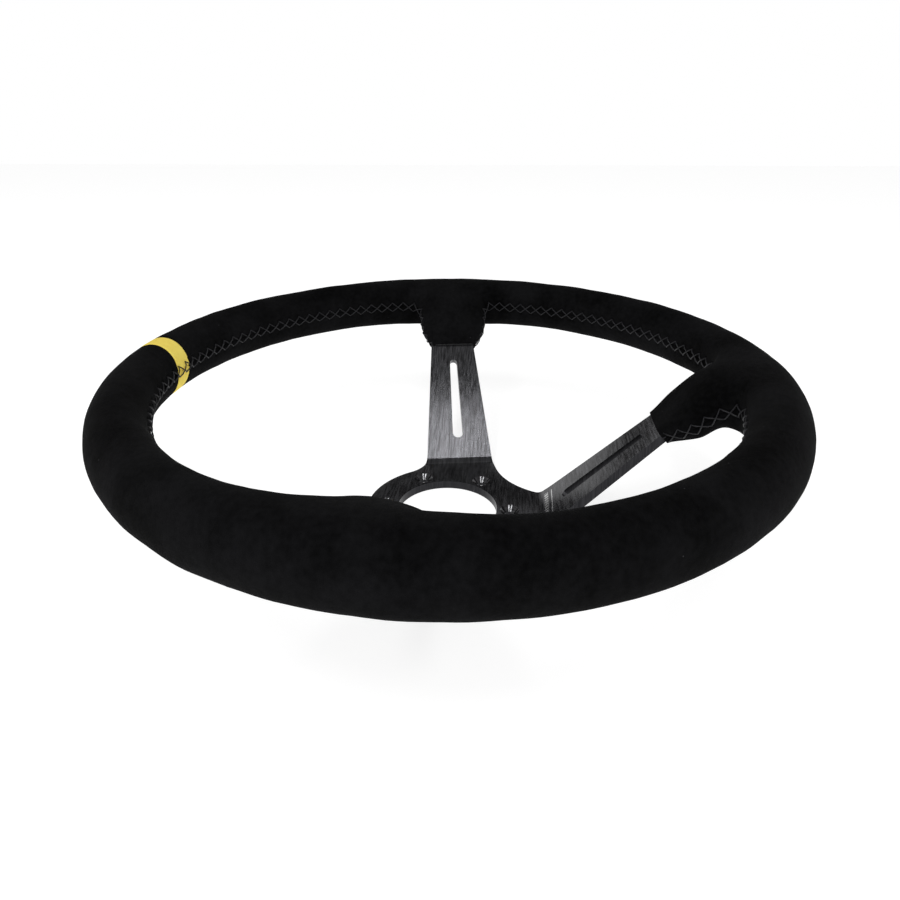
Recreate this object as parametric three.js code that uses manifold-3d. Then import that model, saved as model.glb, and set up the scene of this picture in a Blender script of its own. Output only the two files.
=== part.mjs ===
// Deep-dish steering wheel for a racing car: a pressed aluminium plate with three spokes, riveted to a
// tube hoop that is moulded into foam and wrapped in suede. Millimetres. The origin is the centre of the
// hub's back face, +Z points along the wheel's axis towards the driver, and +Y points to the marker.
import * as THREE from 'three';
import { mergeVertices } from 'three/addons/utils/BufferGeometryUtils.js';
import Module from 'manifold-3d';

const wasm = await Module();
wasm.setup();

// ---- driving dimensions ----
const CLEARANCE = 0.3;

const WHEEL_DIAMETER = 350.4;
const GRIP_WIDTH = 27.2;
const GRIP_DEPTH = 32.2;
const RIM_CENTRE_HEIGHT = 81.2;
const SUEDE_THICKNESS = 1.2;
const MARKER_WIDTH = 12;
const MARKER_SHIFT = 1.5;

const PLATE_THICKNESS = 4.5;
const HUB_DIAMETER = 90.4;
const BORE_DIAMETER = 55.8;
const BOLT_CIRCLE = 70;
const BOLT_COUNT = 6;
const BOLT_HOLE_DIAMETER = 5.4;
const COUNTERSINK_DIAMETER = 10.8;

const HUB_BEND_DISTANCE = 52.7;
const DISH_ANGLE = THREE.MathUtils.degToRad(43.7);
const BEND_RADIUS = 9;
const SPOKE_TAPER = 0.103;
const SPOKE_WIDTH_DISTANCE = 109.5;
const SIDE_SPOKE_WIDTH = 29.5;
const BOTTOM_SPOKE_WIDTH = 26.4;
const SIDE_SPOKE_RISE = THREE.MathUtils.degToRad(10);
const SIDE_SPOKE_DROP = 11.7;
const SPOKE_END_TO_HOOP = 5.5;
const LOWER_FILLET_RADIUS = 40;
const UPPER_FILLET_RADIUS = 19;
const SLOT_START_DISTANCE = 65.1;
const SLOT_END_DISTANCE = 105.4;
const SLOT_WIDTH_AT_HUB = 6.6;
const SLOT_WIDTH_AT_RIM = 4.8;

const HOOP_TUBE_DIAMETER = 14;
const HOOP_WALL = 1.5;
const HOOP_VENT_DIAMETER = 3;
const LUG_THICKNESS = 3;
const LUG_REACH = 10.5;
const RIVET_DIAMETER = 4;
const RIVET_HEAD_DIAMETER = 7.4;
const RIVET_HEAD_HEIGHT = 1.7;
const RIVET_SPACING = 10;

const COLLAR_REACH = 37;
const COLLAR_SIDE_WALL = 1.1;
const COLLAR_FACE_WALL = 1.3;
const SHOULDER_REACH = 23;
const SHOULDER_WIDTH = 42;
const SHOULDER_DEPTH = 19;
const NECK_REACH = 6;
const NECK_WIDTH = 47;
const NECK_DEPTH = 25;
const FLARE_WIDTH = 74;
const FLARE_DEPTH = 28;
const FLARE_REACH = 6;
const CUFF_LENGTH = 4;
const CUFF_SWELL = 2.4;

const THREAD_DIAMETER = 0.9;
const SEAM_THREAD_DIAMETER = 0.5;

// ---- facets ----
const RING_STEPS = 48;
const GRIP_STEPS = 16;
const HOOP_STEPS = 8;
const HOLE_STEPS = 28;
const BORE_STEPS = 72;
const HUB_STEPS = 72;
const VENT_STEPS = 10;
const RIVET_STEPS = 14;
const COLLAR_STEPS = 16;
const BEND_STEPS = 5;
const FILLET_STEPS = 14;

// ---- values worked out from the driving dimensions ----
const rimRadius = (WHEEL_DIAMETER - GRIP_WIDTH) / 2;
const rimInnerRadius = rimRadius - GRIP_WIDTH / 2;
const foamOffset = SUEDE_THICKNESS + CLEARANCE;
const plateMiddle = PLATE_THICKNESS / 2;
const rimBendDistance = HUB_BEND_DISTANCE + (RIM_CENTRE_HEIGHT - plateMiddle) / Math.tan(DISH_ANGLE);
const bendTangent = BEND_RADIUS * Math.tan(DISH_ANGLE / 2);
const bendStart = HUB_BEND_DISTANCE - bendTangent;
const spokeEnd = rimRadius - HOOP_TUBE_DIAMETER / 2 - SPOKE_END_TO_HOOP;
const rimFlatStart = rimBendDistance + bendTangent;
const lugStart = Math.max(rimFlatStart, spokeEnd - LUG_REACH);
const rivetDistance = (lugStart + spokeEnd) / 2;
const collarEnd = rimInnerRadius - COLLAR_REACH;
const plateBottomAtRim = RIM_CENTRE_HEIGHT - plateMiddle;
const lugTop = plateBottomAtRim - CLEARANCE;
// How far a dished strip runs into the hub's flat.
const BEND_OVERLAP = 3;
// How near the axis a web's inner corner is drawn, as a share of its arc's distance.
const WEB_DEPTH = 0.6;

// Each spoke's centre line runs straight out to the rim, beside the wheel's axis by its offset.
const spokes = [
  { name: 'right', angle: SIDE_SPOKE_RISE, offset: -SIDE_SPOKE_DROP, width: SIDE_SPOKE_WIDTH },
  { name: 'left', angle: Math.PI - SIDE_SPOKE_RISE, offset: SIDE_SPOKE_DROP, width: SIDE_SPOKE_WIDTH },
  { name: 'bottom', angle: -Math.PI / 2, offset: 0, width: BOTTOM_SPOKE_WIDTH },
];

// ---- materials ----
const anodised = new THREE.MeshStandardMaterial({ color: 0x1d1e20, roughness: 0.42, metalness: 0.9 });
const steel = new THREE.MeshStandardMaterial({ color: 0x8d9094, roughness: 0.45, metalness: 1 });
const foam = new THREE.MeshStandardMaterial({ color: 0x3a3a3c, roughness: 0.95, metalness: 0 });
const suede = new THREE.MeshStandardMaterial({ color: 0x101011, roughness: 1, metalness: 0 });
const yellowSuede = new THREE.MeshStandardMaterial({ color: 0xf2cf1d, roughness: 0.9, metalness: 0 });
const thread = new THREE.MeshStandardMaterial({ color: 0x1c1c20, roughness: 0.55, metalness: 0 });

// ---- from three.js geometry to solids and back ----
function solidOf(geometry) {
  geometry.deleteAttribute('normal');
  geometry.deleteAttribute('uv');
  const merged = mergeVertices(geometry, 1e-3);
  const vertProperties = new Float32Array(merged.attributes.position.array);
  const triVerts = new Uint32Array(merged.index.array);
  const solid = new wasm.Manifold(new wasm.Mesh({ numProp: 3, vertProperties, triVerts }));
  if (solid.volume() > 0) return solid;
  return new wasm.Manifold(new wasm.Mesh({ numProp: 3, vertProperties, triVerts: triVerts.reverse() }));
}

function geometryOf(solid) {
  const mesh = solid.getMesh();
  const geometry = new THREE.BufferGeometry();
  geometry.setAttribute('position', new THREE.BufferAttribute(new Float32Array(mesh.vertProperties), 3));
  geometry.setIndex(new THREE.BufferAttribute(new Uint32Array(mesh.triVerts), 1));
  return geometry;
}

function united(solids) {
  return solids.reduce((whole, solid) => whole.add(solid));
}

const wheel = new THREE.Group();

function addPiece(name, solid, material) {
  const mesh = new THREE.Mesh(geometryOf(solid), material);
  mesh.name = name;
  wheel.add(mesh);
}

// A closed skin through rings of points that all have the same count. A looped run joins its last ring
// to its first, and any other run is capped at both ends.
function skinThrough(rings, looped = false) {
  const size = rings[0].length;
  const faces = [];
  const spans = looped ? rings.length : rings.length - 1;
  for (let ring = 0; ring < spans; ring += 1) {
    const here = ring * size;
    const next = ((ring + 1) % rings.length) * size;
    for (let i = 0; i < size; i += 1) {
      const j = (i + 1) % size;
      faces.push(here + i, next + i, next + j, here + i, next + j, here + j);
    }
  }
  if (!looped) {
    const last = (rings.length - 1) * size;
    for (let i = 1; i < size - 1; i += 1) {
      faces.push(0, i, i + 1, last, last + i + 1, last + i);
    }
  }
  const geometry = new THREE.BufferGeometry().setFromPoints(rings.flat());
  geometry.setIndex(faces);
  return solidOf(geometry);
}

function turnedSolid(profile, steps) {
  const geometry = new THREE.LatheGeometry(profile, steps);
  geometry.rotateX(Math.PI / 2);
  return solidOf(geometry);
}

function risingSolid(shape, bottom, top) {
  const depth = top - bottom;
  const geometry = new THREE.ExtrudeGeometry(shape, { depth, bevelEnabled: false, curveSegments: 8 });
  geometry.translate(0, 0, bottom);
  return solidOf(geometry);
}

// A round bar along the wheel's axis, centred on the origin.
function roundBar(diameter, length, steps) {
  const geometry = new THREE.CylinderGeometry(diameter / 2, diameter / 2, length, steps);
  geometry.rotateX(Math.PI / 2);
  return solidOf(geometry);
}

function blockBetween(low, high) {
  const size = new THREE.Vector3().subVectors(high, low);
  const geometry = new THREE.BoxGeometry(size.x, size.y, size.z);
  geometry.translate(low.x + size.x / 2, low.y + size.y / 2, low.z + size.z / 2);
  return solidOf(geometry);
}

// An oval ring round the wheel's axis, centred on the grip.
function ovalRing(width, depth, steps) {
  const profile = [];
  for (let step = 0; step <= steps; step += 1) {
    const turn = (2 * Math.PI * (step % steps)) / steps;
    const radius = rimRadius + (width / 2) * Math.cos(turn);
    profile.push(new THREE.Vector2(radius, RIM_CENTRE_HEIGHT + (depth / 2) * Math.sin(turn)));
  }
  return turnedSolid(profile, RING_STEPS);
}

// ---- places along a spoke ----
function spokePoint(spoke, distance, sideways, height) {
  const across = sideways + spoke.offset;
  const x = distance * Math.cos(spoke.angle) - across * Math.sin(spoke.angle);
  const y = distance * Math.sin(spoke.angle) + across * Math.cos(spoke.angle);
  return new THREE.Vector3(x, y, height);
}

function spokeHalfWidth(spoke, distance) {
  return spoke.width / 2 - SPOKE_TAPER * (distance - SPOKE_WIDTH_DISTANCE);
}

// Height of the middle of the plate along a spoke, from the hub's flat over the slope to the rim's flat.
function plateHeight(distance) {
  const rise = plateMiddle + (distance - HUB_BEND_DISTANCE) * Math.tan(DISH_ANGLE);
  return Math.min(Math.max(rise, plateMiddle), RIM_CENTRE_HEIGHT);
}

// Places a solid that was made along +X, at the wheel's axis, on a spoke.
function onSpoke(spoke, solid) {
  const turn = THREE.MathUtils.radToDeg(spoke.angle);
  return solid.translate([0, spoke.offset, 0]).rotate([0, 0, turn]);
}

// ---- spoke plate ----
// The plate's middle line along a spoke, with a round bend at the hub and another at the rim.
function plateMiddleLine() {
  const line = [new THREE.Vector3(bendStart - BEND_OVERLAP, plateMiddle, 0)];
  for (let step = 0; step <= BEND_STEPS; step += 1) {
    const turn = (DISH_ANGLE * step) / BEND_STEPS;
    const x = bendStart + BEND_RADIUS * Math.sin(turn);
    line.push(new THREE.Vector3(x, plateMiddle + BEND_RADIUS * (1 - Math.cos(turn)), turn));
  }
  for (let step = 0; step <= BEND_STEPS; step += 1) {
    const turn = DISH_ANGLE * (1 - step / BEND_STEPS);
    const x = rimBendDistance + bendTangent - BEND_RADIUS * Math.sin(turn);
    line.push(new THREE.Vector3(x, RIM_CENTRE_HEIGHT - BEND_RADIUS * (1 - Math.cos(turn)), turn));
  }
  line.push(new THREE.Vector3(spokeEnd, RIM_CENTRE_HEIGHT, 0));
  return line;
}

// A dished strip along one spoke, wider than the spoke; grow thickens it on both faces.
function dishedStrip(spoke, grow) {
  const reach = HUB_DIAMETER / 2;
  const half = plateMiddle + grow;
  const line = plateMiddleLine();
  line[line.length - 1].x += grow;
  const rings = line.map(({ x, y, z: slope }) => {
    const lean = half * Math.sin(slope);
    const lift = half * Math.cos(slope);
    return [
      spokePoint(spoke, x - lean, -reach, y + lift),
      spokePoint(spoke, x - lean, reach, y + lift),
      spokePoint(spoke, x + lean, reach, y - lift),
      spokePoint(spoke, x + lean, -reach, y - lift),
    ];
  });
  return skinThrough(rings);
}

// A spoke's tapered outline seen along the wheel's axis.
function spokeOutline(spoke, grow) {
  const from = spokeHalfWidth(spoke, 0) + grow;
  const to = spokeHalfWidth(spoke, spokeEnd) + grow;
  const corners = [
    spokePoint(spoke, 0, -from, 0),
    spokePoint(spoke, spokeEnd + grow, -to, 0),
    spokePoint(spoke, spokeEnd + grow, to, 0),
    spokePoint(spoke, 0, from, 0),
  ];
  return new THREE.Shape(corners.map(({ x, y }) => new THREE.Vector2(x, y)));
}

// The line of a spoke's edge in plan: a point on it and its outward direction.
function spokeEdge(spoke, side) {
  const near = spokePoint(spoke, 0, side * spokeHalfWidth(spoke, 0), 0);
  const far = spokePoint(spoke, spokeEnd, side * spokeHalfWidth(spoke, spokeEnd), 0);
  return { point: near, direction: far.sub(near).normalize() };
}

// A web that fills the corner between two straight edges up to a fillet arc.
function filletBetween(first, second, radius) {
  const cross = first.direction.x * second.direction.y - first.direction.y * second.direction.x;
  const gap = new THREE.Vector3().subVectors(second.point, first.point);
  const reach = (gap.x * second.direction.y - gap.y * second.direction.x) / cross;
  const corner = first.point.clone().addScaledVector(first.direction, reach);
  const half = first.direction.angleTo(second.direction) / 2;
  const start = corner.clone().addScaledVector(first.direction, radius / Math.tan(half));
  const end = corner.clone().addScaledVector(second.direction, radius / Math.tan(half));
  const middle = new THREE.Vector3().addVectors(first.direction, second.direction).normalize();
  const centre = corner.clone().addScaledVector(middle, radius / Math.sin(half));
  return filletShape(corner.multiplyScalar(WEB_DEPTH), start, end, centre, radius);
}

function filletShape(corner, start, end, centre, radius) {
  const from = Math.atan2(start.y - centre.y, start.x - centre.x);
  const sweep = Math.atan2(end.y - centre.y, end.x - centre.x) - from;
  const turn = Math.atan2(Math.sin(sweep), Math.cos(sweep));
  const points = [new THREE.Vector2(corner.x, corner.y)];
  for (let step = 0; step <= FILLET_STEPS; step += 1) {
    const angle = from + (turn * step) / FILLET_STEPS;
    points.push(new THREE.Vector2(centre.x + radius * Math.cos(angle), centre.y + radius * Math.sin(angle)));
  }
  return new THREE.Shape(points);
}

// A web between the hub's circle and a spoke's upper edge, as a fillet that touches both.
function hubFillet(edge, side, radius) {
  const normal = new THREE.Vector3(-edge.direction.y, edge.direction.x, 0).multiplyScalar(side);
  const base = edge.point.clone().addScaledVector(normal, radius);
  const along = base.dot(edge.direction);
  const hub = HUB_DIAMETER / 2;
  const step = -along + Math.sqrt(along * along - base.lengthSq() + (hub + radius) ** 2);
  const centre = base.clone().addScaledVector(edge.direction, step);
  const onEdge = centre.clone().addScaledVector(normal, -radius);
  const onHub = centre.clone().setLength(hub);
  const inside = onEdge.clone().add(onHub).multiplyScalar(WEB_DEPTH / 2);
  return filletShape(inside, onEdge, onHub, centre, radius);
}

function hubAndSpokes() {
  const outline = [];
  const top = RIM_CENTRE_HEIGHT + PLATE_THICKNESS;
  outline.push(roundBar(HUB_DIAMETER, top, HUB_STEPS).translate([0, 0, top / 2]));
  for (const spoke of spokes) {
    outline.push(risingSolid(spokeOutline(spoke, 0), 0, top));
  }
  const [right, left, bottom] = spokes;
  const webs = [
    filletBetween(spokeEdge(right, -1), spokeEdge(bottom, 1), LOWER_FILLET_RADIUS),
    filletBetween(spokeEdge(left, 1), spokeEdge(bottom, -1), LOWER_FILLET_RADIUS),
    hubFillet(spokeEdge(right, 1), 1, UPPER_FILLET_RADIUS),
    hubFillet(spokeEdge(left, -1), -1, UPPER_FILLET_RADIUS),
  ];
  for (const web of webs) {
    outline.push(risingSolid(web, 0, top));
  }
  const flat = blockBetween(
    new THREE.Vector3(-HUB_DIAMETER, -HUB_DIAMETER, 0),
    new THREE.Vector3(HUB_DIAMETER, HUB_DIAMETER, PLATE_THICKNESS),
  );
  const sloping = blockBetween(
    new THREE.Vector3(bendStart, -HUB_DIAMETER, -PLATE_THICKNESS),
    new THREE.Vector3(WHEEL_DIAMETER, HUB_DIAMETER, 2 * PLATE_THICKNESS),
  );
  const hub = spokes.reduce((rest, spoke) => rest.subtract(onSpoke(spoke, sloping)), flat);
  const strips = spokes.map((spoke) => dishedStrip(spoke, 0));
  return united(outline).intersect(united([hub, ...strips]));
}

// A slot along a spoke, cut square to the slope and tapered towards the rim, with round ends.
function spokeSlot(spoke) {
  const slope = Math.cos(DISH_ANGLE);
  const start = (SLOT_START_DISTANCE - HUB_BEND_DISTANCE) / slope + SLOT_WIDTH_AT_HUB / 2;
  const end = (SLOT_END_DISTANCE - HUB_BEND_DISTANCE) / slope - SLOT_WIDTH_AT_RIM / 2;
  const shape = new THREE.Shape();
  shape.absarc(start, 0, SLOT_WIDTH_AT_HUB / 2, Math.PI / 2, -Math.PI / 2, false);
  shape.absarc(end, 0, SLOT_WIDTH_AT_RIM / 2, -Math.PI / 2, Math.PI / 2, false);
  shape.closePath();
  const slope3d = THREE.MathUtils.radToDeg(DISH_ANGLE);
  const cutter = risingSolid(shape, -PLATE_THICKNESS, PLATE_THICKNESS);
  const placed = cutter.rotate([0, -slope3d, 0]).translate([HUB_BEND_DISTANCE, 0, plateMiddle]);
  return onSpoke(spoke, placed);
}

function countersunkHole(index) {
  const angle = -Math.PI / 2 + (2 * Math.PI * index) / BOLT_COUNT;
  const hole = BOLT_HOLE_DIAMETER / 2;
  const head = COUNTERSINK_DIAMETER / 2;
  const profile = [
    new THREE.Vector2(0, -1),
    new THREE.Vector2(hole, -1),
    new THREE.Vector2(hole, PLATE_THICKNESS - (head - hole)),
    new THREE.Vector2(head + 1, PLATE_THICKNESS + 1),
    new THREE.Vector2(0, PLATE_THICKNESS + 1),
  ];
  const place = [(BOLT_CIRCLE / 2) * Math.cos(angle), (BOLT_CIRCLE / 2) * Math.sin(angle), 0];
  return turnedSolid(profile, HOLE_STEPS).translate(place);
}

// ---- rivets and lugs ----
function rivetPlaces(spoke) {
  return [-RIVET_SPACING / 2, RIVET_SPACING / 2].map((side) => spokePoint(spoke, rivetDistance, side, 0));
}

// A rivet's turned outline through the plate and the lug: a domed head above and a formed head below.
function rivetAt(place, grow) {
  const shank = RIVET_DIAMETER / 2 + grow;
  const head = RIVET_HEAD_DIAMETER / 2 + grow;
  const seat = RIM_CENTRE_HEIGHT + plateMiddle + CLEARANCE - grow;
  const crown = seat + RIVET_HEAD_HEIGHT + 2 * grow;
  const foot = lugTop - LUG_THICKNESS - CLEARANCE + grow;
  const tail = foot - RIVET_HEAD_HEIGHT - 2 * grow;
  const profile = [
    new THREE.Vector2(0, tail),
    new THREE.Vector2(head * 0.6, tail),
    new THREE.Vector2(head * 0.9, foot),
    new THREE.Vector2(shank, foot),
    new THREE.Vector2(shank, seat),
    new THREE.Vector2(head, seat),
    new THREE.Vector2(head * 0.8, (seat + crown) / 2),
    new THREE.Vector2(head * 0.4, crown),
    new THREE.Vector2(0, crown),
  ];
  return turnedSolid(profile, RIVET_STEPS).translate([place.x, place.y, 0]);
}

function rivetHole(place) {
  const bar = roundBar(RIVET_DIAMETER + 2 * CLEARANCE, 4 * PLATE_THICKNESS, RIVET_STEPS);
  return bar.translate([place.x, place.y, RIM_CENTRE_HEIGHT]);
}

// A lug is a flat tongue under the flat of the spoke's end, cut to sit on the hoop's tube.
function lugTongue(spoke, grow) {
  const from = lugStart + CLEARANCE - grow;
  const half = spokeHalfWidth(spoke, rivetDistance) + grow;
  const corners = [
    spokePoint(spoke, from, -half, 0),
    spokePoint(spoke, rimRadius, -half, 0),
    spokePoint(spoke, rimRadius, half, 0),
    spokePoint(spoke, from, half, 0),
  ];
  const shape = new THREE.Shape(corners.map(({ x, y }) => new THREE.Vector2(x, y)));
  return risingSolid(shape, lugTop - LUG_THICKNESS - grow, lugTop + grow);
}

// ---- collars ----
// One rounded section of a collar, upright across the spoke. A squareness of 2 is an oval, and more is
// closer to a box.
function collarSection(spoke, { distance, width, depth, height, squareness }, inset) {
  const ring = [];
  for (let step = 0; step < COLLAR_STEPS; step += 1) {
    const turn = (2 * Math.PI * step) / COLLAR_STEPS;
    const side = Math.sign(Math.cos(turn)) * Math.abs(Math.cos(turn)) ** (2 / squareness);
    const rise = Math.sign(Math.sin(turn)) * Math.abs(Math.sin(turn)) ** (2 / squareness);
    const sideways = (width / 2 - inset) * side;
    ring.push(spokePoint(spoke, distance, sideways, height + (depth / 2 - inset) * rise));
  }
  return ring;
}

// The collar's stations, from its end on the bare spoke to the flare inside the rim.
function collarStations(spoke, cuffShift = 0) {
  const upright = 1 / Math.cos(DISH_ANGLE);
  const shoulder = rimInnerRadius - SHOULDER_REACH;
  const neck = rimInnerRadius - NECK_REACH;
  const flare = rimInnerRadius + FLARE_REACH;
  const cuff = collarEnd + CUFF_LENGTH + cuffShift;
  const endWidth = 2 * (spokeHalfWidth(spoke, collarEnd) + CLEARANCE + COLLAR_SIDE_WALL);
  const endDepth = (PLATE_THICKNESS + 2 * (CLEARANCE + COLLAR_FACE_WALL)) * upright;
  const middleWidth = (SHOULDER_WIDTH + NECK_WIDTH) / 2;
  const middleDepth = (SHOULDER_DEPTH + NECK_DEPTH) / 2;
  return [
    { distance: collarEnd, width: endWidth, depth: endDepth, squareness: 7 },
    { distance: cuff, width: endWidth + CUFF_SWELL, depth: endDepth + CUFF_SWELL, squareness: 6 },
    { distance: shoulder, width: SHOULDER_WIDTH, depth: SHOULDER_DEPTH, squareness: 3.2 },
    { distance: (shoulder + neck) / 2, width: middleWidth, depth: middleDepth, squareness: 2.8 },
    { distance: neck, width: NECK_WIDTH, depth: NECK_DEPTH, squareness: 2.5 },
    { distance: flare, width: FLARE_WIDTH, depth: FLARE_DEPTH, squareness: 2.3 },
  ].map((station) => ({ ...station, height: plateHeight(station.distance) }));
}

function collarSolid(spoke, inset) {
  return skinThrough(collarStations(spoke).map((station) => collarSection(spoke, station, inset)));
}

// The collar's room under the suede: it starts at the cuff, and cuffShift moves that start outwards.
function collarCore(spoke, inset, cuffShift) {
  const stations = collarStations(spoke, cuffShift).slice(1);
  return skinThrough(stations.map((station) => collarSection(spoke, station, inset)));
}

// ---- build: plate, hoop, lugs and rivets ----
const rivets = spokes.flatMap((spoke) => rivetPlaces(spoke));
let plate = hubAndSpokes().subtract(roundBar(BORE_DIAMETER, 4 * PLATE_THICKNESS, BORE_STEPS));
for (const spoke of spokes) {
  plate = plate.subtract(spokeSlot(spoke));
}
for (let index = 0; index < BOLT_COUNT; index += 1) {
  plate = plate.subtract(countersunkHole(index));
}
for (const place of rivets) {
  plate = plate.subtract(rivetHole(place));
}
addPiece('spoke_plate', plate, anodised);

const hoopOuter = ovalRing(HOOP_TUBE_DIAMETER, HOOP_TUBE_DIAMETER, HOOP_STEPS);
const hoopBore = HOOP_TUBE_DIAMETER - 2 * HOOP_WALL;
const hoopInner = ovalRing(hoopBore, hoopBore, HOOP_STEPS);
const hoopRoomDiameter = HOOP_TUBE_DIAMETER + 2 * CLEARANCE / Math.cos(Math.PI / HOOP_STEPS);
const hoopRoom = ovalRing(hoopRoomDiameter, hoopRoomDiameter, HOOP_STEPS);
const ventHeight = RIM_CENTRE_HEIGHT - HOOP_TUBE_DIAMETER / 2;
const ventDrill = roundBar(HOOP_VENT_DIAMETER, HOOP_TUBE_DIAMETER, VENT_STEPS);
const vent = ventDrill.translate([0, rimRadius, ventHeight]);
addPiece('rim_hoop', hoopOuter.subtract(hoopInner).subtract(vent), steel);

for (const spoke of spokes) {
  let lug = lugTongue(spoke, 0).subtract(hoopRoom);
  for (const place of rivetPlaces(spoke)) {
    lug = lug.subtract(rivetHole(place));
  }
  const bodies = lug.decompose().sort((a, b) => b.volume() - a.volume());
  addPiece(`hoop_lug_${spoke.name}`, bodies[0], steel);
  rivetPlaces(spoke).forEach((place, index) => {
    addPiece(`spoke_rivet_${spoke.name}_${'ab'[index]}`, rivetAt(place, 0), steel);
  });
}

// ---- build: foam ----
const foamRing = ovalRing(GRIP_WIDTH - 2 * foamOffset, GRIP_DEPTH - 2 * foamOffset, GRIP_STEPS);
const foamCollars = spokes.map((spoke) => collarCore(spoke, foamOffset, CLEARANCE));
const plateRoom = spokes.map((spoke) => {
  const outline = risingSolid(spokeOutline(spoke, CLEARANCE), 0, 2 * RIM_CENTRE_HEIGHT);
  return dishedStrip(spoke, CLEARANCE).intersect(outline);
});
const metalRoom = united([
  hoopRoom,
  ...plateRoom,
  ...spokes.map((spoke) => lugTongue(spoke, CLEARANCE)),
  ...rivets.map((place) => rivetAt(place, CLEARANCE)),
]);
addPiece('foam_core', united([foamRing, ...foamCollars]).subtract(metalRoom), foam);

// ---- build: suede cover and marker ----
const gripRing = ovalRing(GRIP_WIDTH, GRIP_DEPTH, GRIP_STEPS);
const coverRoom = united([
  ovalRing(GRIP_WIDTH - 2 * SUEDE_THICKNESS, GRIP_DEPTH - 2 * SUEDE_THICKNESS, GRIP_STEPS),
  ...spokes.map((spoke) => collarCore(spoke, SUEDE_THICKNESS, 0)),
  ...plateRoom,
]);
const sleeve = united([gripRing, ...spokes.map((spoke) => collarSolid(spoke, 0))]).subtract(coverRoom);

// A slice of the grip at the top of the wheel, between two planes square to the rim.
function topSlice(halfWidth) {
  return blockBetween(
    new THREE.Vector3(MARKER_SHIFT - halfWidth, rimInnerRadius - GRIP_WIDTH, 0),
    new THREE.Vector3(MARKER_SHIFT + halfWidth, rimRadius + GRIP_WIDTH, 2 * RIM_CENTRE_HEIGHT),
  );
}

const seamGap = SEAM_THREAD_DIAMETER + 2 * CLEARANCE;
addPiece('suede_cover', sleeve.subtract(topSlice(MARKER_WIDTH / 2 + seamGap)), suede);
addPiece('centre_marker_band', sleeve.intersect(topSlice(MARKER_WIDTH / 2)), yellowSuede);

// ---- build: threads ----
// A thread of square section through points; each point also says which way is away from the cover.
function threadThrough(places, diameter, looped = false) {
  const half = diameter / 2;
  const up = new THREE.Vector3(0, 0, half);
  const rings = places.map(({ point, away }) => {
    const out = away.clone().setLength(half);
    return [
      point.clone().sub(out).sub(up),
      point.clone().add(out).sub(up),
      point.clone().add(out).add(up),
      point.clone().sub(out).add(up),
    ];
  });
  return skinThrough(rings, looped);
}

// A seam thread lies round the grip's section, in the groove beside the marker.
function seamRing(x) {
  const rings = [];
  const half = SEAM_THREAD_DIAMETER / 2;
  const middleWidth = GRIP_WIDTH / 2 - SUEDE_THICKNESS / 2;
  const middleDepth = GRIP_DEPTH / 2 - SUEDE_THICKNESS / 2;
  for (let step = 0; step < GRIP_STEPS; step += 1) {
    const turn = (2 * Math.PI * step) / GRIP_STEPS;
    const ring = [[-half, -half], [half, -half], [half, half], [-half, half]].map(([side, out]) => {
      const y = rimRadius + (middleWidth + out) * Math.cos(turn);
      const z = RIM_CENTRE_HEIGHT + (middleDepth + out) * Math.sin(turn);
      return new THREE.Vector3(x + side, y, z);
    });
    rings.push(ring);
  }
  return skinThrough(rings, true);
}

const seamPlace = MARKER_WIDTH / 2 + seamGap / 2;
addPiece('seam_thread_marker_right', seamRing(MARKER_SHIFT + seamPlace), thread);
addPiece('seam_thread_marker_left', seamRing(MARKER_SHIFT - seamPlace), thread);

// The side of a collar from its end to where it meets the thread's circle inside the rim.
function collarSidePlaces(spoke, side, stand) {
  const circle = rimInnerRadius - stand;
  const along = spokePoint(spoke, 1, 0, 0).sub(spokePoint(spoke, 0, 0, 0));
  const away = new THREE.Vector3(-along.y, along.x, 0).multiplyScalar(side);
  const points = collarStations(spoke).map(({ distance, width, height }) => (
    spokePoint(spoke, distance, side * (width / 2 + stand), height)));
  const places = [];
  for (let i = 0; i < points.length; i += 1) {
    if (Math.hypot(points[i].x, points[i].y) > circle) {
      places.push({ point: crossingOf(points[i - 1], points[i], circle), away });
      return places;
    }
    places.push({ point: points[i], away });
  }
  return places;
}

// Where the straight line between two points crosses a circle round the wheel's axis.
function crossingOf(inside, outside, radius) {
  const step = new THREE.Vector3().subVectors(outside, inside);
  const a = step.x ** 2 + step.y ** 2;
  const b = 2 * (inside.x * step.x + inside.y * step.y);
  const c = inside.x ** 2 + inside.y ** 2 - radius ** 2;
  const share = (-b + Math.sqrt(b * b - 4 * a * c)) / (2 * a);
  return inside.clone().addScaledVector(step, share);
}

// One stitched run goes down the side of a collar, round the inside of the rim and up the next collar.
function stitchedRun(from, fromSide, to, toSide) {
  const stand = CLEARANCE + THREAD_DIAMETER / 2;
  const start = collarSidePlaces(from, fromSide, stand);
  const end = collarSidePlaces(to, toSide, stand).reverse();
  const first = start[start.length - 1].point;
  const last = end[0].point;
  const step = (2 * Math.PI) / RING_STEPS;
  const fromAngle = Math.atan2(first.y, first.x);
  let toAngle = Math.atan2(last.y, last.x);
  if (toAngle < fromAngle) toAngle += 2 * Math.PI;
  const arc = [];
  for (let turn = Math.ceil(fromAngle / step + 0.2) * step; turn < toAngle - 0.2 * step; turn += step) {
    const inward = new THREE.Vector3(-Math.cos(turn), -Math.sin(turn), 0);
    const point = inward.clone().multiplyScalar(-(rimInnerRadius - stand));
    point.z = RIM_CENTRE_HEIGHT;
    arc.push({ point, away: inward });
  }
  return threadThrough([...start, ...arc, ...end], THREAD_DIAMETER);
}

const [right, left, bottom] = spokes;
addPiece('stitch_thread_upper', stitchedRun(right, 1, left, -1), thread);
addPiece('stitch_thread_lower_left', stitchedRun(left, 1, bottom, -1), thread);
addPiece('stitch_thread_lower_right', stitchedRun(bottom, 1, right, -1), thread);

export default wheel;
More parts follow.
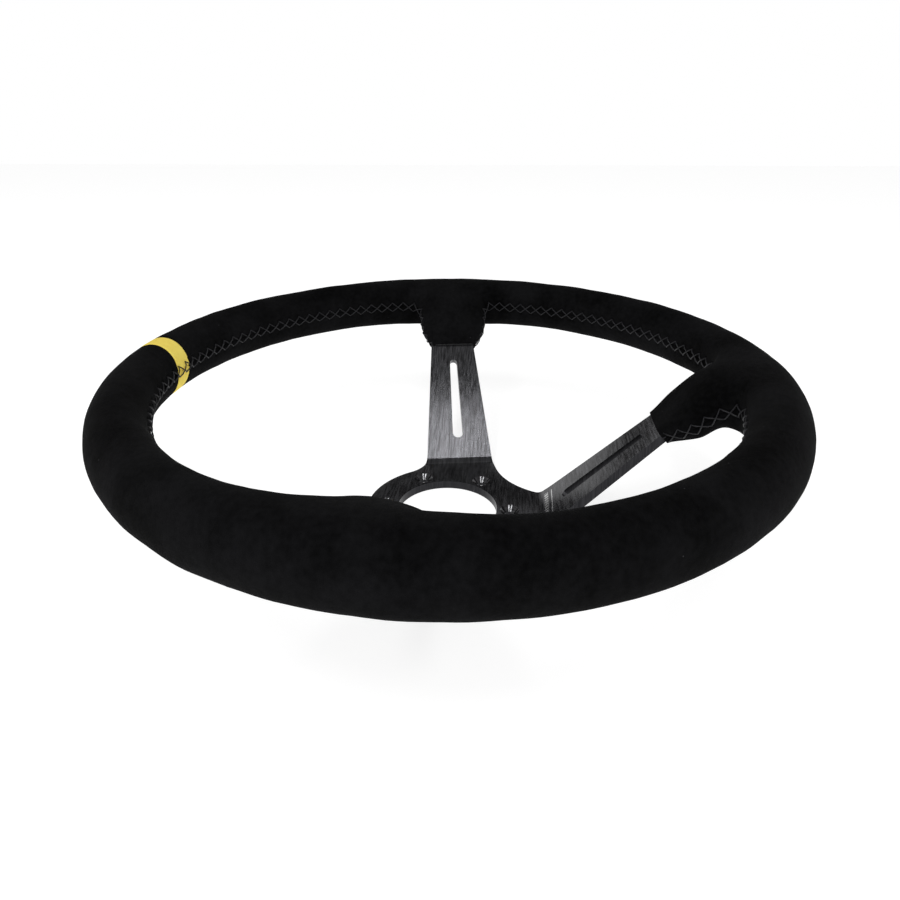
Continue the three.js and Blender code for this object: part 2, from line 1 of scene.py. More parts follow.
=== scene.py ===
# The looks of a suede deep-dish racing wheel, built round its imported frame. Metres, +Z along the
# wheel's axis towards the driver, +Y to the centre marker. Sections follow the order of assembly.
import math
import random

import bmesh
import bpy
from mathutils import Matrix, Vector
from mathutils.bvhtree import BVHTree
from mathutils.kdtree import KDTree


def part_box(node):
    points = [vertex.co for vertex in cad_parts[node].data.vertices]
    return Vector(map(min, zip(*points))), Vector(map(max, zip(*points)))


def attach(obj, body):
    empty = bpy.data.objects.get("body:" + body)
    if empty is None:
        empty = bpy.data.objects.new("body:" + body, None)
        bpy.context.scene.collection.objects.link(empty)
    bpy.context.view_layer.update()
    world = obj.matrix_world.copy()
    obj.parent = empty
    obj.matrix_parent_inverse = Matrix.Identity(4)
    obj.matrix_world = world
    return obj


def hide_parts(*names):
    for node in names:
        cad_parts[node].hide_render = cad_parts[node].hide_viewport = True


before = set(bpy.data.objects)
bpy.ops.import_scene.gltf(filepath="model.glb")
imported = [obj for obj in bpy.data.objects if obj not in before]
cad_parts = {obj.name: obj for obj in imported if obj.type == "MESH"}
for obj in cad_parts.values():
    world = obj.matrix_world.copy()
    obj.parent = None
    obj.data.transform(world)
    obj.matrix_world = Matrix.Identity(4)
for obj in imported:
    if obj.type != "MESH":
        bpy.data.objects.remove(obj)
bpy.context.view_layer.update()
rim_low, rim_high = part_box("rim_hoop")
rim_height = (rim_low.z + rim_high.z) / 2

# Camera. It stands on the wheel's left side, a little above the rim, and looks across the hub to the
# right spoke, with a wide lens close to the rim.
bpy.ops.object.camera_add(location=(-0.35076, -0.03732, rim_height + 0.13959))
camera = bpy.context.object
turn = Matrix.Rotation(math.radians(6.82 - 90), 4, "Z")
tip = Matrix.Rotation(math.radians(90 - 16.04), 4, "X")
roll = Matrix.Rotation(-0.007, 4, "Z")
camera.matrix_world = Matrix.Translation(camera.location) @ turn @ tip @ roll
camera.data.sensor_width = 36
camera.data.lens = 28.29
camera.data.shift_x = 0.01373
camera.data.shift_y = -0.15482
camera.data.clip_start = 0.01
bpy.context.scene.camera = camera

# Studio. A wide white sweep under the wheel, two long strip softboxes high on the camera's side, and
# a surround that is bright round the horizon and dim overhead.
bpy.ops.object.select_all(action="DESELECT")
bpy.ops.mesh.primitive_plane_add(size=5, location=(0, 0, -0.0003))
floor = bpy.context.object
floor.name = "studio_floor"
floor_white = bpy.data.materials.new("floor_white")
floor_white.use_nodes = True
floor_shader = floor_white.node_tree.nodes["Principled BSDF"]
floor_shader.inputs["Base Color"].default_value = (0.5, 0.5, 0.5, 1)
floor_shader.inputs["Roughness"].default_value = 0.9
floor_shader.inputs["Specular IOR Level"].default_value = 0.1
floor_shader.inputs["Emission Color"].default_value = (1, 1, 1, 1)
floor_shader.inputs["Emission Strength"].default_value = 0.74
floor.data.materials.append(floor_white)

world = bpy.data.worlds.new("studio")
bpy.context.scene.world = world
bpy.context.scene.view_settings.view_transform = "Standard"
world.use_nodes = True
air = world.node_tree
sky = air.nodes["Background"]
sky.inputs["Color"].default_value = (1, 1, 1, 1)
height = air.nodes.new("ShaderNodeSeparateXYZ")
air.links.new(air.nodes.new("ShaderNodeTexCoord").outputs["Generated"], height.inputs["Vector"])
dim = air.nodes.new("ShaderNodeMapRange")
dim.inputs["From Max"].default_value = 0.9
dim.inputs["To Min"].default_value = 0.95
dim.inputs["To Max"].default_value = 0.22
air.links.new(height.outputs["Z"], dim.inputs["Value"])
level = air.nodes.new("ShaderNodeMix")
level.inputs["B"].default_value = 1.0
seen = air.nodes.new("ShaderNodeLightPath")
air.links.new(seen.outputs["Is Camera Ray"], level.inputs["Factor"])
air.links.new(dim.outputs["Result"], level.inputs["A"])
air.links.new(level.outputs["Result"], sky.inputs["Strength"])
for name, place, size, power in [
    ("strip_softbox_left", (-1.45, 0.62, 1.75), (0.24, 1.80), 17),
    ("strip_softbox_right", (-1.45, -0.26, 1.75), (0.24, 1.80), 17),
]:
    light = bpy.data.lights.new(name, "AREA")
    light.shape = "RECTANGLE"
    light.size, light.size_y = size
    light.energy = power
    lamp = bpy.data.objects.new(name, light)
    bpy.context.collection.objects.link(lamp)
    lamp.location = place
    lamp.rotation_euler = (0, 0, math.pi / 2)


# Hoop, lugs and rivets. A steel tube ring with flat lugs welded to it, and the rivets that hold the
# spoke plate to the lugs. Drawn steel with a mill grain; the foam hides all of it.
def new_finish(name, roughness, metallic=0.0):
    """A material with one shader, and the object's own coordinates."""
    finish = bpy.data.materials.new(name)
    finish.use_nodes = True
    tree = finish.node_tree
    shader = tree.nodes["Principled BSDF"]
    shader.inputs["Roughness"].default_value = roughness
    shader.inputs["Metallic"].default_value = metallic
    place = tree.nodes.new("ShaderNodeTexCoord").outputs["Object"]
    return finish, tree, shader, place


def grain_of(tree, place, scale, detail=3.0, stretch=(1, 1, 1)):
    """A noise over the object, stretched along the axes with a small number."""
    mapping = tree.nodes.new("ShaderNodeMapping")
    mapping.inputs["Scale"].default_value = stretch
    tree.links.new(place, mapping.inputs["Vector"])
    noise = tree.nodes.new("ShaderNodeTexNoise")
    noise.inputs["Scale"].default_value = scale
    noise.inputs["Detail"].default_value = detail
    tree.links.new(mapping.outputs["Vector"], noise.inputs["Vector"])
    return noise.outputs["Fac"]


def shade_of(tree, value, stops):
    """A colour from a value, through pairs of a position and a colour."""
    ramp = tree.nodes.new("ShaderNodeValToRGB")
    points = ramp.color_ramp.elements
    while len(points) < len(stops):
        points.new(0.5)
    for point, (position, colour) in zip(points, stops):
        point.position = position
        point.color = (*colour, 1)
    tree.links.new(value, ramp.inputs["Fac"])
    return ramp.outputs["Color"]


def bump_of(tree, value, distance, strength, below=None):
    """A bump from a height, over another bump if one is given."""
    bump = tree.nodes.new("ShaderNodeBump")
    bump.inputs["Distance"].default_value = distance
    bump.inputs["Strength"].default_value = strength
    tree.links.new(value, bump.inputs["Height"])
    if below is not None:
        tree.links.new(below, bump.inputs["Normal"])
    return bump.outputs["Normal"]


steel, tree, shader, place = new_finish("mill_steel", 0.42, 1.0)
mill_grain = grain_of(tree, place, 320, 4, (1, 1, 6))
tree.links.new(shade_of(tree, mill_grain, [(0.3, (0.32, 0.33, 0.35)), (0.7, (0.55, 0.56, 0.58))]),
               shader.inputs["Base Color"])
tree.links.new(bump_of(tree, mill_grain, 0.0002, 0.4), shader.inputs["Normal"])
for name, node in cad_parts.items():
    if name.startswith(("rim_hoop", "hoop_lug", "spoke_rivet")):
        node.data.materials.clear()
        node.data.materials.append(steel)


# Spoke plate. One pressed aluminium plate, a hub and three dished spokes, linished in one straight
# direction from side to side and then anodised black. Its edges are broken, and its six screw holes
# are countersunk on a lathe, which leaves rings on their cones.
def take_up(piece):
    """Makes a piece the only selected one and the active one."""
    if bpy.context.mode != "OBJECT":
        bpy.ops.object.mode_set(mode="OBJECT")
    bpy.ops.object.select_all(action="DESELECT")
    piece.select_set(True)
    bpy.context.view_layer.objects.active = piece


def apply_all(piece):
    take_up(piece)
    for modifier in list(piece.modifiers):
        bpy.ops.object.modifier_apply(modifier=modifier.name)


def hand_in(piece, finish, slot, *nodes):
    """Gives a piece its finish and body, and hides the CAD nodes that it stands for."""
    piece.data.materials.clear()
    piece.data.materials.append(finish)
    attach(piece, "root")
    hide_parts(*nodes)


BOLT_CIRCLE = 0.070
COUNTERSINK = 0.0108
plate_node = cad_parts["spoke_plate"]
plate = bpy.data.objects.new("pressed_spoke_plate", plate_node.data.copy())
bpy.context.collection.objects.link(plate)
take_up(plate)
bpy.ops.object.mode_set(mode="EDIT")
bpy.ops.mesh.select_all(action="SELECT")
bpy.ops.mesh.remove_doubles(threshold=0.000004)
bpy.ops.mesh.dissolve_limited(angle_limit=math.radians(0.6))
bpy.ops.object.mode_set(mode="OBJECT")
bpy.ops.object.shade_smooth_by_angle(angle=math.radians(25))
broken_edge = plate.modifiers.new("broken_edge", "BEVEL")
broken_edge.width = 0.00035
broken_edge.segments = 2
broken_edge.limit_method = "ANGLE"
broken_edge.angle_limit = math.radians(34)
broken_edge.harden_normals = True
flat_faces = plate.modifiers.new("flat_faces", "WEIGHTED_NORMAL")
flat_faces.weight = 60
flat_faces.keep_sharp = True
apply_all(plate)

# The lay is the direction across the tool marks: across the linished lines, and down each cone.
lay = plate.data.attributes.new("lay", "FLOAT_VECTOR", "CORNER")
screw_places = [
    Vector((BOLT_CIRCLE / 2 * math.cos(angle), BOLT_CIRCLE / 2 * math.sin(angle)))
    for angle in [math.radians(60 * k - 90) for k in range(6)]
]
for face in plate.data.polygons:
    hole = min(screw_places, key=lambda place: (face.center.xy - place).length)
    on_cone = (face.center.xy - hole).length < COUNTERSINK / 2 and 0.2 < face.normal.z < 0.95
    for corner in face.loop_indices:
        spot = plate.data.vertices[plate.data.loops[corner].vertex_index].co
        out = (spot.xy - hole).normalized()
        lay.data[corner].vector = (out.x, out.y, 1) if on_cone else (0, 1, 0)
    on_edge = abs(face.normal.z) < 0.35
    face.material_index = 1 if on_cone else (2 if on_edge else 0)

anodised, tree, shader, place = new_finish("linished_anodised", 0.36, 0.8)
lines = grain_of(tree, place, 1500, 2, (0.08, 1, 0.08))
broad_lines = grain_of(tree, place, 420, 3, (0.06, 1, 0.06))
both = tree.nodes.new("ShaderNodeMath")
both.operation = "MULTIPLY_ADD"
both.inputs[1].default_value = 0.3
tree.links.new(broad_lines, both.inputs[0])
tree.links.new(lines, both.inputs[2])
linished = shade_of(tree, both.outputs[0], [(0.50, (0.030, 0.030, 0.032)), (0.80, (0.098, 0.098, 0.105))])

# A plain printed rule and a row of plain bars cross the foot of the bottom spoke.
PRINT_HALF = 0.0140
BARS_AT, BARS_HALF = -0.0555, 0.0010
RULE_AT, RULE_HALF = -0.0583, 0.00022
axes = tree.nodes.new("ShaderNodeSeparateXYZ")
tree.links.new(place, axes.inputs["Vector"])


def within(value, middle, half):
    """One where a value lies within half of a middle, and nothing elsewhere."""
    node = tree.nodes.new("ShaderNodeMath")
    node.operation = "COMPARE"
    tree.links.new(value, node.inputs[0])
    node.inputs[1].default_value = middle
    node.inputs[2].default_value = half
    return node.outputs[0]


def joined(first, second, operation):
    node = tree.nodes.new("ShaderNodeMath")
    node.operation = operation
    tree.links.new(first, node.inputs[0])
    tree.links.new(second, node.inputs[1])
    return node.outputs[0]


pitch = tree.nodes.new("ShaderNodeMath")
pitch.operation = "PINGPONG"
pitch.inputs[1].default_value = 0.0012
tree.links.new(axes.outputs["X"], pitch.inputs[0])
bar_row = within(axes.outputs["Y"], BARS_AT, BARS_HALF)
bars = joined(within(pitch.outputs[0], 0.0, 0.00078), bar_row, "MULTIPLY")
rule = within(axes.outputs["Y"], RULE_AT, RULE_HALF)
in_print = joined(joined(bars, rule, "MAXIMUM"), within(axes.outputs["X"], 0.0, PRINT_HALF), "MULTIPLY")
printed = tree.nodes.new("ShaderNodeMix")
printed.data_type = "RGBA"
printed.inputs["B"].default_value = (0.62, 0.62, 0.62, 1)
tree.links.new(in_print, printed.inputs["Factor"])
tree.links.new(linished, printed.inputs["A"])
tree.links.new(printed.outputs["Result"], shader.inputs["Base Color"])
rough = tree.nodes.new("ShaderNodeMapRange")
rough.inputs["From Min"].default_value = 0.3
rough.inputs["From Max"].default_value = 0.7
rough.inputs["To Min"].default_value = 0.17
rough.inputs["To Max"].default_value = 0.25
tree.links.new(lines, rough.inputs["Value"])
tree.links.new(rough.outputs["Result"], shader.inputs["Roughness"])
tree.links.new(bump_of(tree, both.outputs[0], 0.00006, 0.5), shader.inputs["Normal"])
shader.inputs["Anisotropic"].default_value = 0.85
tool_marks = tree.nodes.new("ShaderNodeAttribute")
tool_marks.attribute_name = "lay"
tree.links.new(tool_marks.outputs["Vector"], shader.inputs["Tangent"])

turned, tree, shader, place = new_finish("turned_cone", 0.15, 1.0)
rings = grain_of(tree, place, 2600, 2, (0.1, 0.1, 1))
tree.links.new(shade_of(tree, rings, [(0.35, (0.05, 0.05, 0.052)), (0.7, (0.13, 0.13, 0.135))]),
               shader.inputs["Base Color"])
tree.links.new(bump_of(tree, rings, 0.00003, 0.3), shader.inputs["Normal"])
shader.inputs["Anisotropic"].default_value = 0.6
tool_marks = tree.nodes.new("ShaderNodeAttribute")
tool_marks.attribute_name = "lay"
tree.links.new(tool_marks.outputs["Vector"], shader.inputs["Tangent"])
cut_edge, tree, shader, place = new_finish("anodised_cut_edge", 0.34, 1.0)
cut_marks = grain_of(tree, place, 1500, 3, (1, 1, 0.05))
tree.links.new(shade_of(tree, cut_marks, [(0.35, (0.020, 0.020, 0.022)), (0.7, (0.040, 0.040, 0.043))]),
               shader.inputs["Base Color"])
tree.links.new(bump_of(tree, cut_marks, 0.00006, 0.5), shader.inputs["Normal"])
finishes = [face.material_index for face in plate.data.polygons]
hand_in(plate, anodised, "anodised_plate", "spoke_plate")
plate.data.materials.append(turned)
plate.data.materials.append(cut_edge)
for face, finish in zip(plate.data.polygons, finishes):
    face.material_index = finish

# Foam core. Black polyurethane foam moulded round the hoop and over the spoke ends: an oval ring
# with three padded collars that run down each spoke to a thin cuff. The collars hang lower under the
# plate than they stand above it.
SUEDE = 0.0012
PADDING = SUEDE + 0.0003
GRIP_WIDTH = 0.0275
GRIP_DEPTH = 0.0325
RIM_RADIUS = 0.1616
RING_PARTS = 72
GRIP_PARTS = 16
SIDE_RISE = math.radians(10)
SIDE_DROP = 0.0117
DISH = math.radians(43.7)
HUB_BEND = 0.0527
PLATE_MIDDLE = 0.00225
RING_TURN = math.radians(0.47)
# Each spoke: its direction, its offset beside the axis, the ring part at its middle, how much wider
# its collar is, and how far its collar leans to one side and reaches further in.
spokes = [
    (SIDE_RISE, -SIDE_DROP, 1, -0.0007, -0.0025, 0.0000),
    (math.pi - SIDE_RISE, SIDE_DROP, 35, 0.0012, 0.0030, 0.0002),
    (-math.pi / 2, 0.0, 54, -0.0022, 0.0, 0.0020),
]
# Collar stations of the finished cover: distance along the spoke, half width, half depth, how far
# the section sinks below the plate, its lean back from upright, and its squareness.
COLLAR = [
    (0.1425, 0.0243, 0.0150, 0.0020, 0.0, 0.10),
    (0.1345, 0.0234, 0.0128, 0.0042, 0.20, 0.18),
    (0.1280, 0.0230, 0.0108, 0.0042, 0.52, 0.30),
    (0.1240, 0.0218, 0.0088, 0.0034, 0.76, 0.45),
    (0.1190, 0.0186, 0.0064, 0.0016, 0.76, 0.70),
    (0.1155, 0.0163, 0.0052, 0.0004, 0.76, 0.85),
    (0.1138, 0.0159, 0.0048, 0.0, 0.76, 0.90),
]
# How far the grip is padded out beside a collar, by ring parts from its middle, then grip parts.
SADDLE = {0: (0.0012, 0.0042, 0.0020), 1: (0.0012, 0.0042, 0.0020), 2: (0.0010, 0.0035, 0.0022),
          3: (0.0007, 0.0021, 0.0014), 4: (0.0002, 0.0008, 0.0005)}


def from_middle(ring_part, middle):
    """Ring parts from a collar's middle, with a sign."""
    return (ring_part - middle + RING_PARTS // 2) % RING_PARTS - RING_PARTS // 2


def collar_place(spoke, station, u, v):
    """A point on a collar's section: u runs across the spoke and v through it, from -1 to 1."""
    distance, half_width, half_depth, sink, lean, squareness = station
    neck = min(1, max(0, (distance - COLLAR[-1][0]) / (COLLAR[0][0] - COLLAR[-1][0])))
    side = half_width + spoke[3] - PADDING
    rise = half_depth - PADDING
    side *= squareness * u + (1 - squareness) * u * math.sqrt(1 - v * v / 2)
    rise *= squareness * v + (1 - squareness) * v * math.sqrt(1 - u * u / 2)
    along = distance - spoke[5] * (1 - neck)
    height = min(PLATE_MIDDLE + (along - HUB_BEND) * math.tan(DISH), rim_height) - sink
    along -= rise * math.sin(lean)
    across = side + spoke[1] + spoke[4] * (0.4 + 0.6 * neck)
    direction = spoke[0]
    x = along * math.cos(direction) - across * math.sin(direction)
    y = along * math.sin(direction) + across * math.cos(direction)
    return Vector((x, y, height + rise * math.cos(lean)))


# A subdivided ring draws in from its cage, so the cage is made larger by what each way draws in.
ring_draw = (2 + math.cos(2 * math.pi / RING_PARTS)) / 3
grip_draw = (2 + math.cos(2 * math.pi / GRIP_PARTS)) / 3
bpy.ops.object.select_all(action="DESELECT")
bpy.ops.mesh.primitive_torus_add(
    major_segments=RING_PARTS, minor_segments=GRIP_PARTS, location=(0, 0, 0),
    major_radius=RIM_RADIUS / ring_draw,
    minor_radius=(GRIP_WIDTH / 2 - PADDING) / (ring_draw * grip_draw))
foam = bpy.context.object
foam.name = "moulded_foam_core"
deepening = (GRIP_DEPTH / 2 - PADDING) / (GRIP_WIDTH / 2 - PADDING)
for name in ("seam", "ring_part", "grip_part", "u", "v"):
    foam.data.attributes.new(name, "FLOAT", "POINT")
bpy.ops.object.mode_set(mode="EDIT")
cage = bmesh.from_edit_mesh(foam.data)
floats = cage.verts.layers.float
seam_of, ring_of, grip_of, u_of, v_of = [floats[n] for n in ("seam", "ring_part", "grip_part", "u", "v")]
for vert in cage.verts:
    angle = math.atan2(vert.co.y, vert.co.x)
    radius = math.hypot(vert.co.x, vert.co.y) - RIM_RADIUS / ring_draw
    vert[ring_of] = round(angle / (2 * math.pi / RING_PARTS)) % RING_PARTS
    vert[grip_of] = round(math.atan2(vert.co.z, radius) / (2 * math.pi / GRIP_PARTS)) % GRIP_PARTS
    vert[seam_of] = 1.0 if vert[grip_of] == GRIP_PARTS // 2 else 0.0
    # The side collars sit a little above the cage's own parts, so the ring is turned to meet them.
    vert.co = Matrix.Rotation(RING_TURN * math.cos(angle), 3, "Z") @ vert.co
    vert.co.z *= deepening
    out = Vector((vert.co.x, vert.co.y, 0)).normalized()
    vert.co.z += rim_height
    for spoke in spokes:
        pads = SADDLE.get(abs(from_middle(vert[ring_of], spoke[2])))
        above = GRIP_PARTS // 2 - vert[grip_of]
        if pads and 1 <= abs(above) <= 3:
            vert.co += (Vector((0, 0, math.copysign(0.6, above))) - out * 0.8) * pads[3 - int(abs(above))]
bmesh.update_edit_mesh(foam.data)
bpy.ops.mesh.select_mode(type="FACE")
for spoke in spokes:
    bpy.ops.mesh.select_all(action="DESELECT")
    cage = bmesh.from_edit_mesh(foam.data)
    for face in cage.faces:
        rings_off = [abs(from_middle(v[ring_of], spoke[2])) for v in face.verts]
        grips_off = [abs(v[grip_of] - GRIP_PARTS // 2) for v in face.verts]
        if max(rings_off) <= 2 and max(grips_off) <= 2 and all(v[u_of] == 0 == v[v_of] for v in face.verts):
            face.select = True
    for vert in {v for face in cage.faces if face.select for v in face.verts}:
        vert[u_of] = from_middle(vert[ring_of], spoke[2]) / 2
        vert[v_of] = (GRIP_PARTS // 2 - vert[grip_of]) / 2
        if max(abs(vert[u_of]), abs(vert[v_of])) < 1:
            vert[seam_of] = 0.0
    bmesh.update_edit_mesh(foam.data)
    for station in COLLAR:
        bpy.ops.mesh.extrude_region()
        cage = bmesh.from_edit_mesh(foam.data)
        for vert in cage.verts:
            if vert.select:
                vert.co = collar_place(spoke, station, vert[u_of], vert[v_of])
        bmesh.update_edit_mesh(foam.data)
    bpy.ops.mesh.delete(type="FACE")
bpy.ops.mesh.select_all(action="SELECT")
bpy.ops.mesh.normals_make_consistent(inside=False)
bpy.ops.object.mode_set(mode="OBJECT")

# The suede cover starts as a copy of this cage, before the foam is closed at its three ends.
cover = bpy.data.objects.new("wrapped_suede_cover", foam.data.copy())
bpy.context.collection.objects.link(cover)
foam.modifiers.new("moulding", "SUBSURF").levels = 1
foam.modifiers["moulding"].render_levels = 1
apply_all(foam)
bpy.ops.object.mode_set(mode="EDIT")
bpy.ops.mesh.select_mode(type="EDGE")
bpy.ops.mesh.select_all(action="DESELECT")
bpy.ops.mesh.select_non_manifold()
bpy.ops.mesh.edge_face_add()
bpy.ops.mesh.select_all(action="SELECT")
bpy.ops.mesh.normals_make_consistent(inside=False)
bpy.ops.object.mode_set(mode="OBJECT")
bpy.ops.object.shade_smooth_by_angle(angle=math.radians(40))
foam_black, tree, shader, place = new_finish("foam_black", 0.85)
cells = grain_of(tree, place, 700, 5)
tree.links.new(shade_of(tree, cells, [(0.3, (0.016, 0.016, 0.017)), (0.75, (0.06, 0.06, 0.062))]),
               shader.inputs["Base Color"])
tree.links.new(bump_of(tree, cells, 0.0006, 0.6), shader.inputs["Normal"])
hand_in(foam, foam_black, "foam", "foam_core")

# Suede cover. One long strip of black suede with a wing for each collar, glued to the foam and drawn
# together along the inside of the rim and down both sides of each collar. The open ends lie round
# the spokes with a bare cut edge.
smooth = cover.modifiers.new("smooth", "SUBSURF")
smooth.levels = smooth.render_levels = 2
swell = cover.modifiers.new("swell", "DISPLACE")
swell.mid_level = 0
swell.strength = PADDING
uneven = cover.modifiers.new("uneven", "DISPLACE")
uneven.texture = bpy.data.textures.new("hand_stretch", "CLOUDS")
uneven.texture.noise_scale = 0.022
uneven.mid_level = 0.5
uneven.strength = 0.0009
apply_all(cover)


def seam_runs(mesh):
    """The seam's runs of points, each from one collar's end to the next."""
    weights = mesh.attributes["seam"].data
    on_seam = {i for i in range(len(mesh.vertices)) if weights[i].value > 0.999}
    links = {i: [] for i in on_seam}
    for mesh_edge in mesh.edges:
        a, b = mesh_edge.vertices
        if a in on_seam and b in on_seam:
            links[a].append(b)
            links[b].append(a)
    found, used = [], set()
    for end in sorted(i for i in on_seam if len(links[i]) == 1):
        if end in used:
            continue
        run, before = [end], None
        while True:
            onward = [n for n in links[run[-1]] if n != before]
            if not onward:
                break
            before = run[-1]
            run.append(onward[0])
        used.update((run[0], run[-1]))
        found.append([mesh.vertices[i].co.copy() for i in run])
    return found


def walk(points, step, start):
    """Points a step apart along a run, each with its direction."""
    places = []
    due, gone = start, 0.0
    for a, b in zip(points, points[1:]):
        length = (b - a).length
        while due <= gone + length:
            places.append((a.lerp(b, (due - gone) / length), (b - a).normalized()))
            due += step
        gone += length
    return places


HOLE_ROW = 0.0031
PITCH = 0.0078
FIRST_STITCH = 0.0015
runs = seam_runs(cover.data)
skin = BVHTree.FromObject(cover, bpy.context.evaluated_depsgraph_get())
hole_rows = []
for points in runs:
    total = sum((b - a).length for a, b in zip(points, points[1:]))
    sewn = total - 2 * FIRST_STITCH
    count = round(sewn / PITCH)
    row = []
    for spot, direction in walk(points, sewn / count, FIRST_STITCH):
        across = skin.find_nearest(spot)[1].cross(direction).normalized()
        row.append((spot, [skin.find_nearest(spot + across * side)[0:2] for side in (HOLE_ROW, -HOLE_ROW)]))
    hole_rows.append(row)


def finder(spots):
    """A quick way to the nearest of many points."""
    tree = KDTree(len(spots))
    for index, spot in enumerate(spots):
        tree.insert(spot, index)
    tree.balance()
    return tree


# The strip beside the seam is cut finer, then drawn in along the seam and at each hole by the pull of
# the thread, so that it puckers between the stitches.
take_up(cover)
bpy.ops.object.mode_set(mode="EDIT")
bpy.ops.mesh.select_mode(type="FACE")
bpy.ops.mesh.select_all(action="DESELECT")
fine = bmesh.from_edit_mesh(cover.data)
seam_of = fine.verts.layers.float["seam"]
for face in fine.faces:
    face.select = max(v[seam_of] for v in face.verts) > 0.3
bmesh.update_edit_mesh(cover.data)
bpy.ops.mesh.subdivide(number_cuts=2)
bpy.ops.object.mode_set(mode="OBJECT")
seam_finder = finder([spot for points in runs for spot, direction in walk(points, 0.0004, 0.0)])
hole_finder = finder([spot for row in hole_rows for tie, pair in row for spot, out in pair])
tie_finder = finder([spot for row in hole_rows for spot, pair in row])
weights = [item.value for item in cover.data.attributes["seam"].data]
moved = {}
for vert in cover.data.vertices:
    if weights[vert.index] > 0.05:
        from_seam = seam_finder.find(vert.co)[2]
        groove = 0.0006 * math.exp(-(from_seam / 0.0006) ** 2)
        pucker = 0.0008 * math.exp(-(hole_finder.find(vert.co)[2] / 0.0012) ** 2)
        tie = 0.0007 * math.exp(-(tie_finder.find(vert.co)[2] / 0.0020) ** 2)
        swelling = 0.0004 * math.exp(-((from_seam - 0.0016) / 0.0014) ** 2)
        moved[vert.index] = vert.co - vert.normal * (groove + pucker + tie - swelling)
for index, spot in moved.items():
    cover.data.vertices[index].co = spot

# Centre marker. A short strip of yellow suede let into the cover at the top of the rim, sewn to the
# black on both sides with its edges turned in.
marker_low, marker_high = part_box("centre_marker_band")
SEAM_ROOM = 0.0002
NEAR_MARKER = 0.1
CUT_ZONE = 0.03
TURNED_EDGE = 0.0025
cuts = [(marker_low.x - SEAM_ROOM, -1), (marker_high.x + SEAM_ROOM, 1)]
take_up(cover)
for cut, side in cuts:
    for offset in (-0.0022, -0.0010, -0.0004, -0.00005, 0.00005, 0.0004, 0.0010, 0.0022):
        for face in cover.data.polygons:
            face.select = face.center.y > NEAR_MARKER and abs(face.center.x) < CUT_ZONE
        bpy.ops.object.mode_set(mode="EDIT")
        bpy.ops.mesh.bisect(plane_co=(cut + offset, RIM_RADIUS, rim_height), plane_no=(1, 0, 0))
        bpy.ops.object.mode_set(mode="OBJECT")
for vert in cover.data.vertices:
    if vert.co.y > NEAR_MARKER:
        from_cut = min(abs(vert.co.x - cut) for cut, side in cuts)
        if from_cut < TURNED_EDGE:
            vert.co = vert.co - vert.normal * 0.0005 * math.exp(-(from_cut / 0.0006) ** 2)
for face in cover.data.polygons:
    from_cut = min(abs(face.center.x - cut) for cut, side in cuts)
    face.select = face.center.y > NEAR_MARKER and from_cut < 0.00004
bpy.ops.object.mode_set(mode="EDIT")
bpy.ops.mesh.delete(type="FACE")
bpy.ops.object.mode_set(mode="OBJECT")
for face in cover.data.polygons:
    face.select = face.center.y > NEAR_MARKER and cuts[0][0] < face.center.x < cuts[1][0]
bpy.ops.object.mode_set(mode="EDIT")
bpy.ops.mesh.separate(type="SELECTED")
bpy.ops.object.mode_set(mode="OBJECT")
marker = [piece for piece in bpy.context.selected_objects if piece is not cover][0]
marker.name = "yellow_centre_marker"
for piece in (cover, marker):
    leather = piece.modifiers.new("leather", "SOLIDIFY")
    leather.thickness = SUEDE
    leather.offset = -1
    apply_all(piece)
    bpy.ops.object.shade_smooth_by_angle(angle=math.radians(55))


def suede_finish(name, dark, light, lint, sheen):
    """Split leather with a short nap: soft brushed patches, fine fibre and a few specks of lint."""
    finish, tree, shader, place = new_finish(name, 0.95)
    patches = grain_of(tree, place, 34, 5)
    streaks = grain_of(tree, place, 380, 4)
    nap = tree.nodes.new("ShaderNodeMath")
    nap.operation = "MULTIPLY_ADD"
    nap.inputs[1].default_value = 0.45
    tree.links.new(streaks, nap.inputs[0])
    tree.links.new(patches, nap.inputs[2])
    colour = shade_of(tree, nap.outputs[0], [(0.52, dark), (0.92, light)])
    specks = tree.nodes.new("ShaderNodeTexVoronoi")
    specks.inputs["Scale"].default_value = 95
    specks.inputs["Randomness"].default_value = 1.0
    tree.links.new(place, specks.inputs["Vector"])
    speck = tree.nodes.new("ShaderNodeMapRange")
    speck.inputs["From Min"].default_value = 0.032
    speck.inputs["From Max"].default_value = 0.018
    tree.links.new(specks.outputs["Distance"], speck.inputs["Value"])
    mix = tree.nodes.new("ShaderNodeMix")
    mix.data_type = "RGBA"
    mix.inputs["B"].default_value = (*lint, 1)
    tree.links.new(speck.outputs["Result"], mix.inputs["Factor"])
    tree.links.new(colour, mix.inputs["A"])
    tree.links.new(mix.outputs["Result"], shader.inputs["Base Color"])
    fibre = grain_of(tree, place, 2600, 4)
    coarse = bump_of(tree, streaks, 0.0005, 0.3)
    tree.links.new(bump_of(tree, fibre, 0.0003, 0.55, coarse), shader.inputs["Normal"])
    shader.inputs["Specular IOR Level"].default_value = 0.03
    shader.inputs["Sheen Weight"].default_value = sheen
    shader.inputs["Sheen Roughness"].default_value = 0.6
    return finish


black_suede = suede_finish("black_suede", (0.0014, 0.0014, 0.0015), (0.0064, 0.0064, 0.0070),
                           (0.035, 0.035, 0.037), 0.003)
yellow_suede = suede_finish("yellow_suede", (0.88, 0.67, 0.115), (0.97, 0.80, 0.17),
                            (0.97, 0.85, 0.30), 0.02)
hand_in(cover, black_suede, "black_suede", "suede_cover")
hand_in(marker, yellow_suede, "yellow_suede", "centre_marker_band")

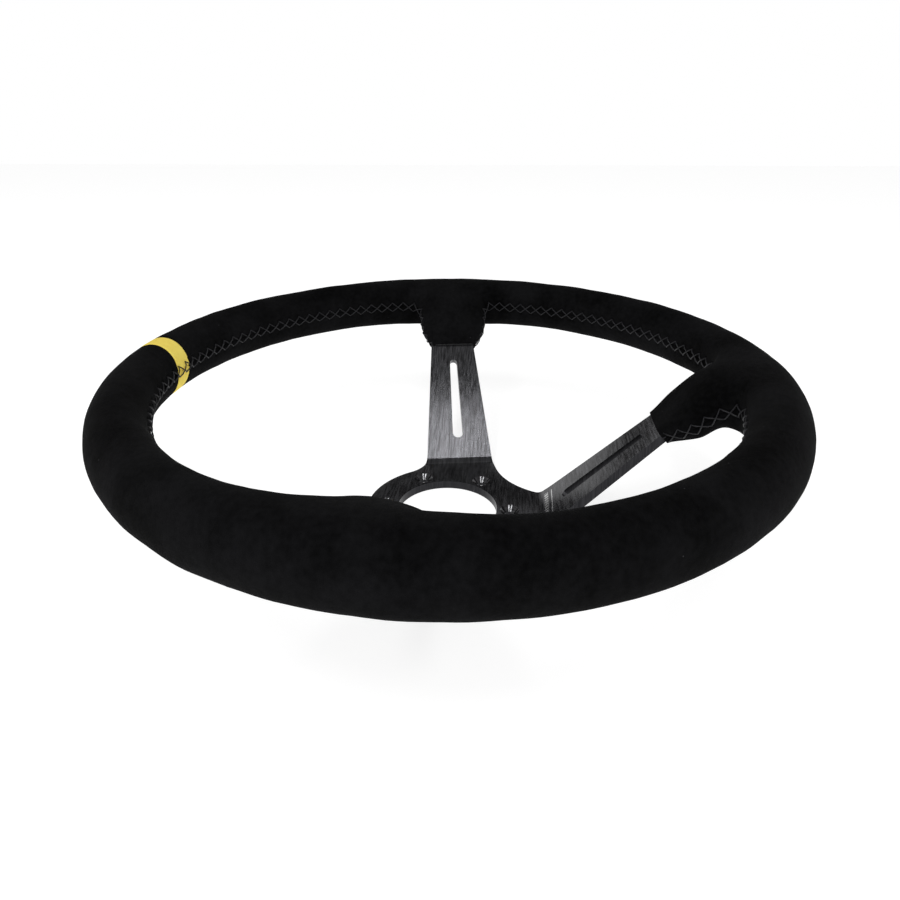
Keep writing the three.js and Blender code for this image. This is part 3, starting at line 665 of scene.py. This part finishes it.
# Stitches. Waxed black thread, one strand up and one strand down in each stitch, so that each pair
# of holes is joined by a cross that stands proud of the seam. Each strand sinks into its holes.
THREAD = 0.00034
HOLE_DEPTH = 0.0012
UNDER_STRAND = 0.0003
OVER_STRAND = 0.0010
random.seed(7)
waxed, tree, shader, place = new_finish("waxed_thread", 0.5)
twist = grain_of(tree, place, 2600, 2)
tree.links.new(shade_of(tree, twist, [(0.3, (0.003, 0.003, 0.004)), (0.7, (0.012, 0.012, 0.015))]),
               shader.inputs["Base Color"])
shader.inputs["Specular IOR Level"].default_value = 0.3
tree.links.new(bump_of(tree, twist, 0.0002, 0.5), shader.inputs["Normal"])


def strand(curve, start, end, middle, lift):
    """One strand from hole to hole, lifted at its middle."""
    (a, a_out), (b, b_out) = start, end
    out = (a_out + b_out).normalized()
    middle = middle + out * lift
    middle += Vector([random.uniform(-0.00015, 0.00015) for _ in range(3)])
    points = [
        a - a_out * HOLE_DEPTH,
        a - a_out * 0.0001,
        a.lerp(middle, 0.4) + out * 0.00035,
        middle,
        b.lerp(middle, 0.4) + out * 0.00035,
        b - b_out * 0.0001,
        b - b_out * HOLE_DEPTH,
    ]
    spline = curve.splines.new("POLY")
    spline.points.add(len(points) - 1)
    for point, spot in zip(spline.points, points):
        point.co = (*spot, 1)


for row in hole_rows:
    middle = row[len(row) // 2][0]
    side = "upper" if middle.y > 0.05 else ("lower_right" if middle.x > 0 else "lower_left")
    curve = bpy.data.curves.new("cross_stitches_" + side, "CURVE")
    curve.dimensions = "3D"
    curve.bevel_depth = THREAD
    curve.bevel_resolution = 1
    for (spot, here), (next_spot, there) in zip(row, row[1:]):
        middle = (spot + next_spot) / 2
        strand(curve, here[0], there[1], middle, UNDER_STRAND)
        strand(curve, here[1], there[0], middle, OVER_STRAND)
    stitches = bpy.data.objects.new("cross_stitches_" + side, curve)
    bpy.context.collection.objects.link(stitches)
    take_up(stitches)
    bpy.ops.object.convert(target="MESH")
    stitches = bpy.context.object
    bpy.ops.object.shade_smooth()
    hand_in(stitches, waxed, "thread", "stitch_thread_" + side)

# Marker seam threads. They lie in the seams beside the marker, where the turned edges meet.
for name in ("seam_thread_marker_left", "seam_thread_marker_right"):
    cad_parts[name].data.materials.clear()
    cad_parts[name].data.materials.append(waxed)
